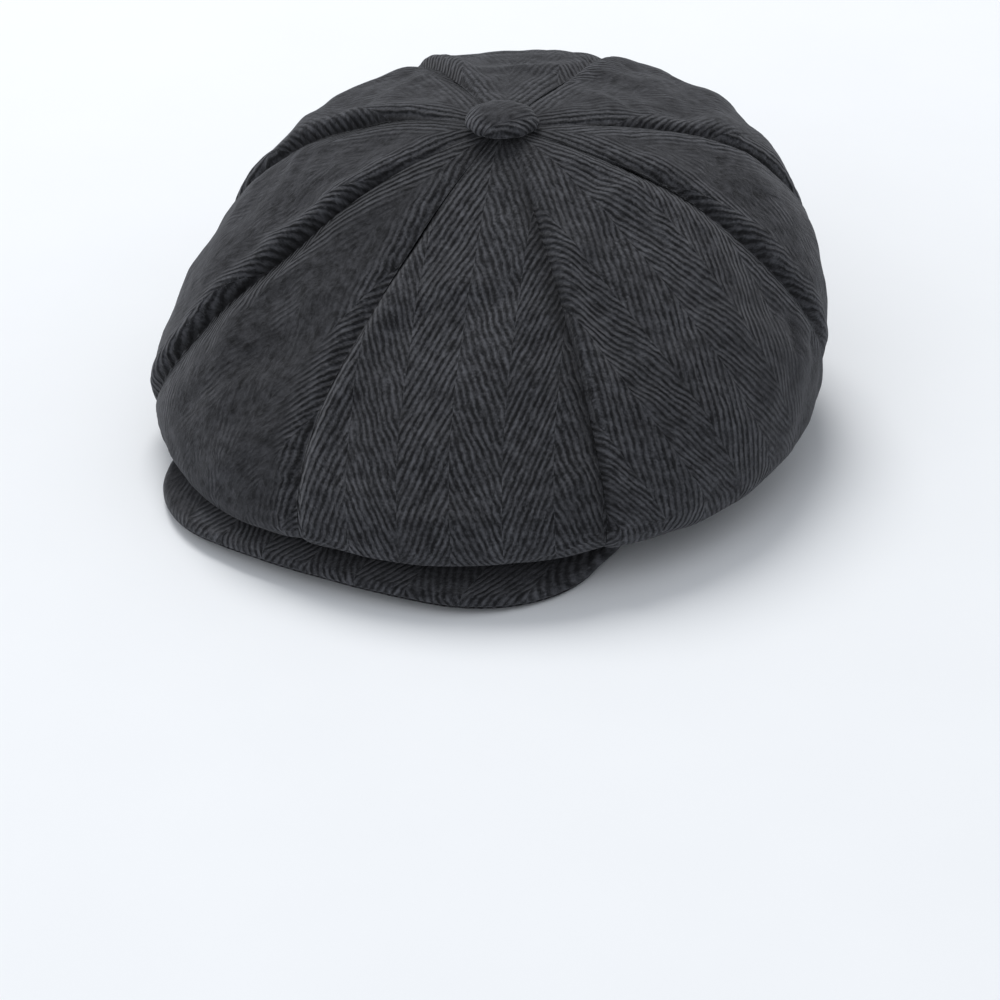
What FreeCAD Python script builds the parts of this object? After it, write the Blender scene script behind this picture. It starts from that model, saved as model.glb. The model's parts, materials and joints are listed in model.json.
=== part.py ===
import FreeCAD, Part
import math
import os

import Sketcher

# Newsboy cap: an eight-gore crown on a head band, with a short sewn visor,
# a lining, a covered button and the band's inner layers.
#
# Frame: millimetres, +Z up. The origin is the centre of the head opening, on
# the plane of the band's lower edge. The front, where the visor is, faces -Y,
# and the wearer's left is +X.

FRONT_ANGLE = -90.0          # direction of the front, measured from +X
GORE_NAMES = ("front_left", "temple_left", "ear_left", "back_left",
              "back_right", "ear_right", "temple_right", "front_right")
BIG = 400.0                  # reach of cutting solids, beyond every side of the cap

# Driving dimensions, in millimetres and degrees.
DIMENSIONS = {
    # Head opening: a 58 cm hat size.
    "head_radius": 92.3,
    "band_height": 28.0,
    "layer_gap": 0.3,
    "sweatband_thickness": 1.0,
    "stiffener_thickness": 0.6,
    "outer_band_thickness": 1.6,
    "forehead_rise": 9.0,
    "forehead_half_width": 78.0,
    "stiffener_inset": 1.5,
    "elastic_angle": 84.0,
    "elastic_end_gap": 3.0,
    "elastic_width": 14.0,
    "elastic_base": 7.0,
    # Crown and lining.
    "gore_count": 8.0,
    "seam_half_gap": 0.12,
    "wool_thickness": 1.8,
    "lining_gap": 1.6,
    "lining_thickness": 0.7,
    "crown_hem_radius": 97.4,
    "crown_hole_radius": 2.9,
    "apex_ring_radius": 2.5,
    "mouth_overshoot": 6.0,
    "hole_depth": 30.0,
    "apex_y": 13.0,
    # Covered button.
    "button_radius": 14.0,
    "button_height": 8.0,
    "button_lift": 0.9,
    "button_fabric": 1.1,
    "button_hem_radius": 9.0,
    "button_hem_thickness": 0.8,
    "button_shell_thickness": 0.5,
    "shank_radius": 1.7,
    "shank_length": 8.0,
    # Visor.
    "visor_reach": 146.5,
    "visor_front_radius": 200.0,
    "visor_corner_radius": 60.0,
    "visor_half_width": 93.0,
    "visor_root_half_width": 89.5,
    "visor_lateral_radius": 500.0,
    "visor_pitch": 2.9,
    "visor_under_thickness": 1.2,
    "visor_board_thickness": 1.8,
    "visor_top_thickness": 1.6,
    "visor_layer_gap": 0.2,
    "visor_edge": 3.0,
    "visor_board_root_inset": 2.0,
}

# Outer surface of the crown, from the band seam up to the button: half width,
# half length, centre's Y, centre's Z, tilt (front low) and the angle of the
# outward normal above the horizontal.
STATION_FIELDS = ("half_width", "half_length", "center_y", "center_z", "tilt", "normal")
CROWN_STATIONS = (
    ("seam", 97.0, 97.0, 0.0, 29.0, 0.0, -80.0),
    ("hem", 101.5, 102.5, -0.3, 28.2, 0.4, -78.0),
    ("gather", 107.0, 109.5, -0.7, 26.8, 1.0, -74.0),
    ("ledge", 113.5, 118.0, -1.2, 24.8, 2.0, -70.0),
    ("under", 120.5, 126.5, -1.7, 22.9, 3.2, -62.0),
    ("fold", 127.5, 135.0, -2.0, 23.4, 4.2, -40.0),
    ("rim", 133.0, 142.0, -2.0, 34.0, 5.2, 0.0),
    ("side", 131.0, 140.0, -1.0, 50.0, 4.8, 15.0),
    ("shoulder", 122.5, 130.5, 1.5, 73.0, 4.0, 32.0),
    ("slope", 107.0, 113.5, 4.5, 92.5, 3.0, 48.0),
    ("upper", 84.5, 89.5, 8.0, 108.5, 2.0, 62.0),
    ("top", 55.5, 58.5, 11.0, 119.2, 1.0, 75.0),
    ("summit", 26.5, 28.0, 12.7, 124.0, 0.3, 84.0),
    ("apex", 2.5, 2.5, 13.0, 125.3, 0.0, 90.0),
)

doc = FreeCAD.newDocument("newsboy_cap")
sheet = doc.addObject("Spreadsheet::Sheet", "dimensions")


def fill_sheet():
    """Write every driving dimension as a plain number with an alias."""
    rows = list(DIMENSIONS.items())
    for name, *values in CROWN_STATIONS:
        rows += [(f"{name}_{field}", value) for field, value in zip(STATION_FIELDS, values)]
    for row, (alias, value) in enumerate(rows, start=1):
        sheet.set(f"A{row}", alias)
        sheet.set(f"B{row}", str(value))
        sheet.setAlias(f"B{row}", alias)
    doc.recompute()


def bound(expression):
    """Turn an expression in cell names into one that reads the sheet."""
    words = set(DIMENSIONS)
    words |= {f"{station[0]}_{field}" for station in CROWN_STATIONS for field in STATION_FIELDS}
    pieces = []
    word = ""
    for letter in expression + " ":
        if letter.isalnum() or letter == "_":
            word += letter
            continue
        pieces.append(f"dimensions.{word}" if word in words else word)
        pieces.append(letter)
        word = ""
    return "".join(pieces).strip()


def value_of(expression):
    """The number that an expression in cell names comes to."""
    return float(getattr(sheet.evalExpression(bound(expression)), "Value",
                         sheet.evalExpression(bound(expression))))


def bind(item, **expressions):
    """Bind properties of an object to the sheet."""
    for name, expression in expressions.items():
        item.setExpression(name, bound(expression))


def place(item, x="0", y="0", z="0", yaw="0", pitch="0", roll="0"):
    """Bind an object's Placement: a position and yaw, pitch and roll in degrees."""
    item.setExpression("Placement", bound(
        f"create(<<placement>>; create(<<vector>>; ({x}) * 1mm; ({y}) * 1mm; ({z}) * 1mm);"
        f" create(<<rotation>>; ({yaw}) * 1deg; ({pitch}) * 1deg; ({roll}) * 1deg))"))


def combine(kind, name, base, tool):
    """Make a two-operand boolean, such as Part::Cut."""
    result = doc.addObject(kind, name)
    result.Base = base
    result.Tool = tool
    return result


# ---------------------------------------------------------------- sketches

def origin_plane(body, role):
    """The body's own origin plane with this role."""
    return next(item for item in body.Origin.OriginFeatures if item.Role == role)


def new_sketch(body, name, role):
    sketch = body.newObject("Sketcher::SketchObject", name)
    sketch.AttachmentSupport = [(origin_plane(body, role), "")]
    sketch.MapMode = "FlatFace"
    return sketch


def fix(sketch, kind, *where, name, expression):
    """Add a dimensional constraint that is bound to the sheet."""
    start = value_of(expression)
    index = sketch.addConstraint(Sketcher.Constraint(kind, *where, start))
    sketch.renameConstraint(index, name)
    sketch.setExpression(f"Constraints.{name}", bound(expression))


def rectangle(sketch, left, right, bottom, top):
    """A rectangle with its four sides bound to expressions."""
    x0, x1, z0, z1 = (value_of(text) for text in (left, right, bottom, top))
    corners = [(x0, z0), (x1, z0), (x1, z1), (x0, z1)]
    vectors = [FreeCAD.Vector(x, z, 0) for x, z in corners]
    for i in range(4):
        sketch.addGeometry(Part.LineSegment(vectors[i], vectors[(i + 1) % 4]), False)
    for i in range(4):
        sketch.addConstraint(Sketcher.Constraint("Coincident", i, 2, (i + 1) % 4, 1))
    for i in (0, 2):
        sketch.addConstraint(Sketcher.Constraint("Horizontal", i))
    for i in (1, 3):
        sketch.addConstraint(Sketcher.Constraint("Vertical", i))
    fix(sketch, "DistanceX", -1, 1, 0, 1, name="left", expression=left)
    fix(sketch, "DistanceX", -1, 1, 0, 2, name="right", expression=right)
    fix(sketch, "DistanceY", -1, 1, 0, 1, name="bottom", expression=bottom)
    fix(sketch, "DistanceY", -1, 1, 1, 2, name="top", expression=top)


# ------------------------------------------------------------- band layers

def ring_body(name, inner, thickness, bottom, top, angle="360", turn="0"):
    """A band layer: a rectangle revolved about the cap's axis."""
    body = doc.addObject("PartDesign::Body", name)
    sketch = new_sketch(body, f"{name}_section", "XZ_Plane")
    rectangle(sketch, inner, f"{inner} + {thickness}", bottom, top)
    turned = body.newObject("PartDesign::Revolution", f"{name}_ring")
    turned.Profile = sketch
    turned.ReferenceAxis = (sketch, ["V_Axis"])
    bind(turned, Angle=f"({angle}) * 1deg")
    place(body, yaw=turn)
    return body


def cut_forehead_arch(body):
    """Raise the lower edge over the forehead, where the visor is sewn on."""
    doc.recompute()
    before = body.Shape.Volume
    radius = "(forehead_half_width^2 + forehead_rise^2) / (2 * forehead_rise)"
    sketch = new_sketch(body, f"{body.Name}_arch", "XZ_Plane")
    center = FreeCAD.Vector(0, value_of(f"forehead_rise - {radius}"), 0)
    up = FreeCAD.Vector(0, 0, 1)
    sketch.addGeometry(Part.Circle(center, up, value_of(radius)), False)
    sketch.addConstraint(Sketcher.Constraint("PointOnObject", 0, 3, -2))
    fix(sketch, "Radius", 0, name="arch_radius", expression=radius)
    fix(sketch, "DistanceY", 0, 3, -1, 1, name="arch_center", expression=f"{radius} - forehead_rise")
    cut = body.newObject("PartDesign::Pocket", f"{body.Name}_arch_cut")
    cut.Profile = sketch
    cut.Type = "ThroughAll"
    cut.Reversed = True
    doc.recompute()
    front_left_alone = body.Shape.isInside(FreeCAD.Vector(0, -body.Shape.BoundBox.YMax + 0.2, 1), 0.5, True)
    if body.Shape.Volume >= before - 1 or front_left_alone:
        raise RuntimeError(f"{body.Name}: the forehead arch was not cut")


def build_band():
    sweat_outer = "head_radius + sweatband_thickness"
    stiff_inner = f"({sweat_outer} + layer_gap)"
    outer_inner = f"({stiff_inner} + stiffener_thickness + layer_gap)"
    sweatband = ring_body("sweatband", "head_radius", "sweatband_thickness", "0", "band_height")
    outer_band = ring_body("outer_band", outer_inner, "outer_band_thickness", "0", "band_height")
    cut_forehead_arch(outer_band)
    # The stiffener leaves the back of the band to the elastic.
    stiffener_angle = "(360 - elastic_angle)"
    stiffener = ring_body("band_stiffener", stiff_inner, "stiffener_thickness",
                          "forehead_rise + stiffener_inset", "band_height - stiffener_inset",
                          angle=stiffener_angle, turn=f"{FRONT_ANGLE} - {stiffener_angle} / 2")
    end_gap = f"(elastic_end_gap / {stiff_inner} * 180 / {math.pi})"
    elastic = ring_body("rear_elastic", stiff_inner, "stiffener_thickness",
                        "elastic_base", "elastic_base + elastic_width",
                        angle=f"elastic_angle - 2 * {end_gap}",
                        turn=f"{-FRONT_ANGLE} - elastic_angle / 2 + {end_gap}")
    return [sweatband, outer_band, stiffener, elastic]


# ------------------------------------------------------------ crown, lining

def surface_loft(name, depth):
    """A solid inside the crown's outer surface, shrunk by depth along the normals."""
    rings = []
    for station, *_ in CROWN_STATIONS:
        ring = doc.addObject("Part::Ellipse", f"{name}_{station}")
        inward = f"({depth}) * cos({station}_normal * 1deg)"
        downward = f"({depth}) * sin({station}_normal * 1deg)"
        bind(ring,
             MajorRadius=f"max({station}_half_length - {inward}; apex_ring_radius)",
             MinorRadius=f"max({station}_half_width - {inward}; apex_ring_radius)")
        # A yaw of a quarter turn lays the long axis along Y; the pitch then
        # tips the ring about X, so that its front is low.
        place(ring, y=f"{station}_center_y", z=f"{station}_center_z - {downward}",
              yaw="90", pitch=f"-{station}_tilt")
        rings.append(ring)
    loft = doc.addObject("Part::Loft", name)
    loft.Sections = rings
    loft.Solid = True
    loft.Ruled = False
    return loft


def open_cavity(name, depth):
    """What a shell leaves free: its inside, the head opening and the button's hole."""
    inside = surface_loft(f"{name}_inside", depth)
    mouth = doc.addObject("Part::Cylinder", f"{name}_mouth")
    bind(mouth, Radius="crown_hem_radius", Height="seam_center_z + mouth_overshoot")
    hole = doc.addObject("Part::Cylinder", f"{name}_hole")
    bind(hole, Radius="crown_hole_radius", Height="2 * hole_depth")
    place(hole, y="apex_y", z="apex_center_z - hole_depth")
    cavity = doc.addObject("Part::MultiFuse", f"{name}_cavity")
    cavity.Shapes = [inside, mouth, hole]
    return cavity


def cut_gores(prefix, outside, cavity):
    """Divide a hollow form into eight gores that meet at seams below the button."""
    gores = []
    share = "(360 / gore_count)"
    # Each sector's point stands off along its middle line, which leaves the
    # same narrow gap along the whole of every seam.
    stand_off = f"(seam_half_gap / sin({share} / 2 * 1deg))"
    for index, gore_name in enumerate(GORE_NAMES):
        middle = f"({FRONT_ANGLE} + ({index} + 0.5) * {share})"
        sector = doc.addObject("Part::Cylinder", f"{prefix}_{gore_name}_sector")
        bind(sector, Radius=str(BIG / 2), Height=str(BIG / 2), Angle=f"{share} * 1deg")
        place(sector,
              x=f"{stand_off} * cos({middle} * 1deg)",
              y=f"apex_y + {stand_off} * sin({middle} * 1deg)",
              yaw=f"{middle} - {share} / 2")
        solid_gore = combine("Part::Common", f"{prefix}_{gore_name}_block", outside, sector)
        gores.append(combine("Part::Cut", f"{prefix}_{gore_name}", solid_gore, cavity))
    return gores


def build_crown():
    outside = surface_loft("crown_outside", "0")
    return cut_gores("crown_panel", outside, open_cavity("crown", "wool_thickness"))


def build_lining():
    depth = "wool_thickness + lining_gap"
    outside = surface_loft("lining_outside", depth)
    return cut_gores("lining_panel", outside, open_cavity("lining", f"{depth} + lining_thickness"))


# ------------------------------------------------------------------ button

def dome(name, radius, height, z):
    """Half an ellipsoid standing on its flat face, above the crown's apex."""
    half = doc.addObject("Part::Ellipsoid", name)
    bind(half, Radius1=height, Radius2=radius, Radius3=radius, Angle1="0 * 1deg", Angle2="90 * 1deg")
    place(half, y="apex_y", z=z)
    return half


def disc(name, radius, height, z):
    round_plate = doc.addObject("Part::Cylinder", name)
    bind(round_plate, Radius=radius, Height=height)
    place(round_plate, y="apex_y", z=z)
    return round_plate


def build_button():
    base = "(apex_center_z + button_lift)"
    inner_radius = "(button_radius - button_fabric)"
    inner_height = "(button_height - button_fabric)"
    # The fabric cover wraps over the dome and turns in underneath as a hem.
    outside = dome("button_outside", "button_radius", "button_height", base)
    inside = dome("button_inside", inner_radius, f"{inner_height} - button_hem_thickness",
                  f"{base} + button_hem_thickness")
    domed = combine("Part::Cut", "button_domed", outside, inside)
    hem_opening = disc("button_hem_opening", "button_hem_radius", "button_hem_thickness * 3", base)
    cover = combine("Part::Cut", "button_cover", domed, hem_opening)
    # A pressed metal shell gives the cover its shape.
    shell_radius = f"({inner_radius} - layer_gap)"
    shell_height = f"({inner_height} - button_hem_thickness - layer_gap * 2)"
    shell_base = f"{base} + button_hem_thickness + layer_gap"
    shell = combine("Part::Cut", "button_shell",
                    dome("button_shell_outside", shell_radius, shell_height, shell_base),
                    dome("button_shell_inside", f"{shell_radius} - button_shell_thickness",
                         f"{shell_height} - button_shell_thickness", shell_base))
    # The back plate holds the hem, and its shank passes between the gores.
    plate = disc("button_plate", "button_hem_radius - layer_gap", "button_hem_thickness", base)
    shank = disc("button_shank", "shank_radius", "shank_length + button_hem_thickness / 2",
                 f"{base} - shank_length")
    back = combine("Part::Fuse", "button_back", plate, shank)
    return [cover, shell, back]


# ------------------------------------------------------------------- visor

def draw_visor_outline(sketch, inset, root):
    """The visor in plan: front arc, two corner arcs, two sides and the root arc.

    inset draws the outer edge in, and root is the radius of the sewn edge.
    """
    reach = value_of(f"visor_reach - {inset}")
    front_radius = value_of(f"visor_front_radius - {inset}")
    corner = value_of(f"visor_corner_radius - {inset}")
    corner_x = value_of("visor_half_width - visor_corner_radius")
    root_radius = value_of(root)
    root_x = value_of(f"visor_root_half_width - {inset}")
    front_y = front_radius - reach
    corner_y = front_y - math.sqrt((front_radius - corner) ** 2 - corner_x ** 2)
    root_y = -math.sqrt(root_radius ** 2 - root_x ** 2)
    normal = FreeCAD.Vector(0, 0, 1)
    meet = math.atan2(corner_y - front_y, corner_x)

    def arc(x, y, radius, start, end):
        circle = Part.Circle(FreeCAD.Vector(x, y, 0), normal, radius)
        return Part.ArcOfCircle(circle, start, end)

    def rim_point(side, angle):
        return FreeCAD.Vector(side * (corner_x + corner * math.cos(angle)),
                              corner_y + corner * math.sin(angle), 0)

    root_angle = math.atan2(root_y, root_x)
    sketch.addGeometry([
        arc(0, front_y, front_radius, -math.pi - meet, meet),
        arc(corner_x, corner_y, corner, meet, 0.0),
        Part.LineSegment(rim_point(1, 0.0), FreeCAD.Vector(root_x, root_y, 0)),
        arc(0, 0, root_radius, -math.pi - root_angle, root_angle),
        Part.LineSegment(FreeCAD.Vector(-root_x, root_y, 0), rim_point(-1, 0.0)),
        arc(-corner_x, corner_y, corner, -math.pi, -math.pi - meet),
    ], False)
    tie = Sketcher.Constraint
    sketch.addConstraint([
        tie("Tangent", 0, 2, 1, 1),
        tie("Tangent", 1, 2, 2, 1),
        tie("Coincident", 2, 2, 3, 2),
        tie("Coincident", 3, 1, 4, 1),
        tie("Tangent", 4, 2, 5, 1),
        tie("Tangent", 5, 2, 0, 1),
        tie("PointOnObject", 0, 3, -2),
        tie("Coincident", 3, 3, -1, 1),
        tie("Equal", 1, 5),
        tie("Symmetric", 3, 1, 3, 2, -2),
    ])
    fix(sketch, "Radius", 0, name="front_arc", expression=f"visor_front_radius - {inset}")
    fix(sketch, "Radius", 1, name="corner_arc", expression=f"visor_corner_radius - {inset}")
    fix(sketch, "Radius", 3, name="root_arc", expression=root)
    fix(sketch, "DistanceX", -1, 1, 1, 3, name="corner_x_left",
        expression="visor_half_width - visor_corner_radius")
    fix(sketch, "DistanceX", 5, 3, -1, 1, name="corner_x_right",
        expression="visor_half_width - visor_corner_radius")
    fix(sketch, "DistanceX", -1, 1, 3, 2, name="root_x",
        expression=f"visor_root_half_width - {inset}")
    fix(sketch, "DistanceY", -1, 1, 0, 3, name="front_y",
        expression="visor_front_radius - visor_reach")


def visor_plan(name, inset, root):
    """The visor's outline as a tall prism."""
    body = doc.addObject("PartDesign::Body", name)
    sketch = new_sketch(body, f"{name}_outline", "XY_Plane")
    draw_visor_outline(sketch, inset, root)
    pad = body.newObject("PartDesign::Pad", f"{name}_prism")
    pad.Profile = sketch
    pad.Midplane = True
    bind(pad, Length="band_height * 2")
    return body


def arched_sheet(name, bottom, top):
    """A sheet that bends across the cap and slopes down to the front.

    bottom and top are heights above the visor's underside.
    """
    outer_band_face = ("(head_radius + sweatband_thickness + stiffener_thickness"
                       " + outer_band_thickness + 2 * layer_gap)")
    axis_z = (f"forehead_rise - visor_lateral_radius"
              f" + {outer_band_face} * tan(visor_pitch * 1deg)")
    rods = []
    for side, height in (("over", top), ("under", bottom)):
        rod = doc.addObject("Part::Cylinder", f"{name}_{side}")
        bind(rod, Radius=f"visor_lateral_radius + {height}", Height=str(BIG / 2))
        place(rod, z=axis_z, roll="90 + visor_pitch")
        rods.append(rod)
    return combine("Part::Cut", f"{name}_sheet", *rods)


def build_visor():
    band_face = ("head_radius + sweatband_thickness + stiffener_thickness"
                 " + outer_band_thickness + 3 * layer_gap")
    under_top = "visor_under_thickness"
    board_bottom = f"({under_top} + visor_layer_gap)"
    board_top = f"({board_bottom} + visor_board_thickness)"
    cover_bottom = f"({board_top} + visor_layer_gap)"
    cover_top = f"({cover_bottom} + visor_top_thickness)"
    pocket_root = f"{band_face} + visor_board_root_inset - visor_layer_gap"
    board_root = f"{band_face} + visor_board_root_inset"
    under_cover = combine("Part::Common", "visor_under_cover",
                          visor_plan("visor_under_plan", "0", band_face),
                          arched_sheet("visor_under", "0", under_top))
    board = combine("Part::Common", "visor_board",
                    visor_plan("visor_board_plan", "visor_edge", board_root),
                    arched_sheet("visor_stiff", board_bottom, board_top))
    # The top cover turns down round the board's edge to meet the under cover.
    whole = combine("Part::Common", "visor_top_whole",
                    visor_plan("visor_top_plan", "0", band_face),
                    arched_sheet("visor_top", board_bottom, cover_top))
    pocket = combine("Part::Common", "visor_board_pocket",
                     visor_plan("visor_pocket_plan", "visor_edge - visor_layer_gap", pocket_root),
                     arched_sheet("visor_pocket", "0", cover_bottom))
    top_cover = combine("Part::Cut", "visor_top_cover", whole, pocket)
    return [top_cover, board, under_cover]


# ------------------------------------------------------------------ checks

def check_document(pieces):
    """Stop if any object failed, or any piece's shape is missing or invalid."""
    doc.recompute()
    for item in doc.Objects:
        if "Invalid" in item.State or "Error" in item.State:
            raise RuntimeError(f"{item.Name} failed: {item.State}")
    for piece in pieces:
        shape = piece.Shape
        if shape.isNull() or not shape.isValid() or not shape.Solids:
            raise RuntimeError(f"{piece.Label} has no valid solid")


def write_pieces(pieces):
    os.makedirs("parts", exist_ok=True)
    for piece in pieces:
        piece.Shape.exportStep(f"parts/{piece.Label}.step")
        box = piece.Shape.BoundBox
        print(f"{piece.Label:28s} solids {len(piece.Shape.Solids)}  volume {piece.Shape.Volume:9.1f}"
              f"  x {box.XMin:7.1f} {box.XMax:7.1f}  y {box.YMin:7.1f} {box.YMax:7.1f}"
              f"  z {box.ZMin:6.1f} {box.ZMax:6.1f}")


fill_sheet()
cap_pieces = build_crown() + build_lining() + build_button() + build_band() + build_visor()
check_document(cap_pieces)
write_pieces(cap_pieces)
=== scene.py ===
import json
import math

import bpy
import numpy as np
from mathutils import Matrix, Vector


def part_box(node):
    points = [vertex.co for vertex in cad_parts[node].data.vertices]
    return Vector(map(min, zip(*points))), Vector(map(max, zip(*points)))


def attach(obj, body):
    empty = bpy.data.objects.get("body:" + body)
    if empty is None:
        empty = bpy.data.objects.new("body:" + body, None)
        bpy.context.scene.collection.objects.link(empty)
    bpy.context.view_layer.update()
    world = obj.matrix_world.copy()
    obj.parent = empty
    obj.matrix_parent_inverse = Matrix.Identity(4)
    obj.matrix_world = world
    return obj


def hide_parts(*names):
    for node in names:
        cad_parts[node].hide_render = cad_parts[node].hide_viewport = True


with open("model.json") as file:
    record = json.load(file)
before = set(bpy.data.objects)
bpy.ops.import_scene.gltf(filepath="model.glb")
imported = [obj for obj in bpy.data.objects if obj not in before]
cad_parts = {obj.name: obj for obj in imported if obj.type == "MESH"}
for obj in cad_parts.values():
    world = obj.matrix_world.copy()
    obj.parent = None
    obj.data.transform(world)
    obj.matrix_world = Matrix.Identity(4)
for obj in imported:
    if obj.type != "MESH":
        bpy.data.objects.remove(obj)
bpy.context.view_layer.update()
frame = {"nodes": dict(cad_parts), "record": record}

# Newsboy cap in herringbone wool: the looks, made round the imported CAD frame.
# Metres, +Z up; the front with the visor faces -Y and the wearer's left is +X.
# Azimuths are in degrees from the front towards the wearer's left.

MM = 0.001
GORE_NAMES = ("front_left", "temple_left", "ear_left", "back_left",
              "back_right", "ear_right", "temple_right", "front_right")


# ------------------------------------------------------------------ sizes

def joined_box(nodes):
    """Lowest and highest corner of several CAD nodes together."""
    corners = np.array([[tuple(corner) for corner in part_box(node)] for node in nodes])
    return corners[:, 0].min(0), corners[:, 1].max(0)


CROWN_LOW, CROWN_HIGH = joined_box([f"crown_panel_{name}" for name in GORE_NAMES])
LINING_HIGH = joined_box([f"lining_panel_{name}" for name in GORE_NAMES])[1]
BAND_LOW, BAND_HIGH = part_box("outer_band")
SWEAT_LOW, SWEAT_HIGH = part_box("sweatband")
ELASTIC_LOW, ELASTIC_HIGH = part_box("rear_elastic")
VISOR_LOW, VISOR_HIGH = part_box("visor_top_cover")
BUTTON_LOW, BUTTON_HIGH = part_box("button_cover")
HEAD = next(m for m in frame["record"]["mounts"] if m["name"] == "head_opening")
HEAD_RADIUS = HEAD["dims"]["r_mm"] * MM

# The crown as it lies: longer to the front than to the back of its middle,
# and slumped over to the wearer's left.
CROWN_MIDDLE_Y = 6 * MM
FRONT_REACH = CROWN_MIDDLE_Y - CROWN_LOW[1]
BACK_REACH = CROWN_HIGH[1] - CROWN_MIDDLE_Y
SIDE_REACH = CROWN_HIGH[0]
SLUMP = 6.8 * MM
CROWN_TOP = CROWN_HIGH[2]
BUTTON_MIDDLE = np.array([(BUTTON_LOW[0] + BUTTON_HIGH[0]) / 2, (BUTTON_LOW[1] + BUTTON_HIGH[1]) / 2])
APEX = BUTTON_MIDDLE + np.array([1.0, 0.6]) * MM   # the top has slid a little off the CAD middle
FOLD_RADIUS = 14 * MM                           # of the rolled lower edge
SEAM_RADIUS = BAND_HIGH[0] + 1.0 * MM           # where the crown is sewn to the band
SEAM_HEIGHT = BAND_HIGH[2] + 1.0 * MM
WOOL = 1.8 * MM
LINING = 0.7 * MM
LINING_DEPTH = CROWN_TOP - LINING_HIGH[2]       # lining's outside below the crown's outside

# Local bulges: azimuth and half width in degrees, size in millimetres. The first
# go all the way up the crown's side, the others are at its edge only.
SIDE_BULGES = ((284, 13, -2.4),)
EDGE_BULGES = ((306, 14, 4.6), (108, 28, 1.5))

# How the crown varies round the cap, as arguments of fourier(): heights in millimetres of
# its widest and its lowest line, then the powers of its section's curve.
RIM_WAVES = (37.5, -20.0, 6.2, -4.3, 7.2)
FOLD_WAVES = (14.8, -5.2, 4.9, 4.5)
SIDE_POWER_WAVES = (2.27, -1.12, 0.0)
TOP_POWER_WAVES = (2.34, -0.88, 0.0, -0.39)

# Seams, by azimuth: where each one starts, how it drifts on its way down, and how it
# swings to the rear near the edge where the full cloth has sagged.
SEAM_STARTS = {0: -7.5, 45: -3.0, 90: 3.0, 135: -7.0, 180: 1.5, 225: 1.0, 270: 2.5, 315: 4.0}
SEAM_DRIFTS = {0: 0.0, 45: 3.0, 90: 5.0, 135: -1.0, 180: -1.0, 225: 0.5, 270: 1.5, 315: 0.5}
SEAM_SWINGS = {0: 5.5, 45: 0.0, 90: 15.0, 135: 9.0, 180: 2.0, 225: 0.0, 270: -2.0, 315: -13.0}


def fourier(angle, mean, cosine, cosine_two, sine=0.0, sine_two=0.0):
    """A value that varies smoothly round the cap."""
    return (mean + cosine * np.cos(angle) + cosine_two * np.cos(2 * angle)
            + sine * np.sin(angle) + sine_two * np.sin(2 * angle))


def bulging(angle, bulges):
    """Sum of the local bulges at each azimuth."""
    total = 0.0 * angle
    for azimuth, width, size in bulges:
        turn = np.mod(angle - math.radians(azimuth) + np.pi, 2 * np.pi) - np.pi
        total = total + size * MM * np.exp(-(turn / math.radians(width)) ** 2)
    return total


def crown_radius(angle):
    """Half width at each azimuth: the CAD crown's, slumped over to one side."""
    length = (FRONT_REACH + BACK_REACH) / 2
    mean = (length + SIDE_REACH) / 2
    return bulging(angle, SIDE_BULGES) + fourier(
        angle, mean - 0.8 * MM, (FRONT_REACH - BACK_REACH) / 2 + 0.8 * MM,
        (length - SIDE_REACH) / 2 + 1.9 * MM, SLUMP, -0.6 * MM)


def rim_height(angle):
    """Height of the crown's widest line: low in front, where it lies on the visor."""
    return fourier(angle, *RIM_WAVES) * MM


def fold_height(angle):
    """Height of the lowest line of the rolled edge, which all but touches the visor in front."""
    return fourier(angle, *FOLD_WAVES) * MM


# --------------------------------------------------------------- crown surface

TABLE_ANGLES = 720
TABLE_STEPS = 400


def make_profiles():
    """The crown's section at each azimuth, as (radius, height, shift) at even lengths.

    Position 0 is the top, 1 the widest line, 2 the lowest line and 3 the band seam.
    """
    angle = np.linspace(0, 2 * np.pi, TABLE_ANGLES, endpoint=False)[:, None]
    turn = np.linspace(0, np.pi / 2, TABLE_STEPS)[None, :]
    radius, rim, fold = crown_radius(angle), rim_height(angle), fold_height(angle)
    bulge = bulging(angle, EDGE_BULGES)
    # A superellipse: nearly straight in front, full and square-shouldered behind.
    side_power = fourier(angle, *SIDE_POWER_WAVES)
    top_power = fourier(angle, *TOP_POWER_WAVES)
    slope = (radius * np.sin(turn) ** (2 / side_power) + bulge * np.sin(turn) ** 9,
             rim + (CROWN_TOP - rim) * np.cos(turn).clip(0) ** (2 / top_power),
             np.cos(turn) + 0 * angle)
    inner = radius + bulge - FOLD_RADIUS
    roll = (inner + FOLD_RADIUS * np.cos(turn),
            rim - (rim - fold) * np.sin(turn),
            0 * turn * angle)
    inward = turn / (np.pi / 2)
    under = (inner + (SEAM_RADIUS - inner) * inward,
             fold + (SEAM_HEIGHT - fold) * inward * inward * (3 - 2 * inward),
             0 * turn * angle)
    parts = []
    for part in (slope, roll, under):
        r, z, shift = np.broadcast_arrays(*part)
        step = np.hypot(np.diff(r, axis=1), np.diff(z, axis=1))
        along = np.concatenate([np.zeros((TABLE_ANGLES, 1)), np.cumsum(step, axis=1)], axis=1)
        even = np.linspace(0, 1, TABLE_STEPS)
        rows = [[np.interp(even, a / a[-1], v) for v in (x, y, s)]
                for a, x, y, s in zip(along, r, z, shift)]
        parts.append(np.array(rows).transpose(0, 2, 1))
    return np.concatenate([parts[0], parts[1][:, 1:], parts[2][:, 1:]], axis=1)


PROFILES = make_profiles()


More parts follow.
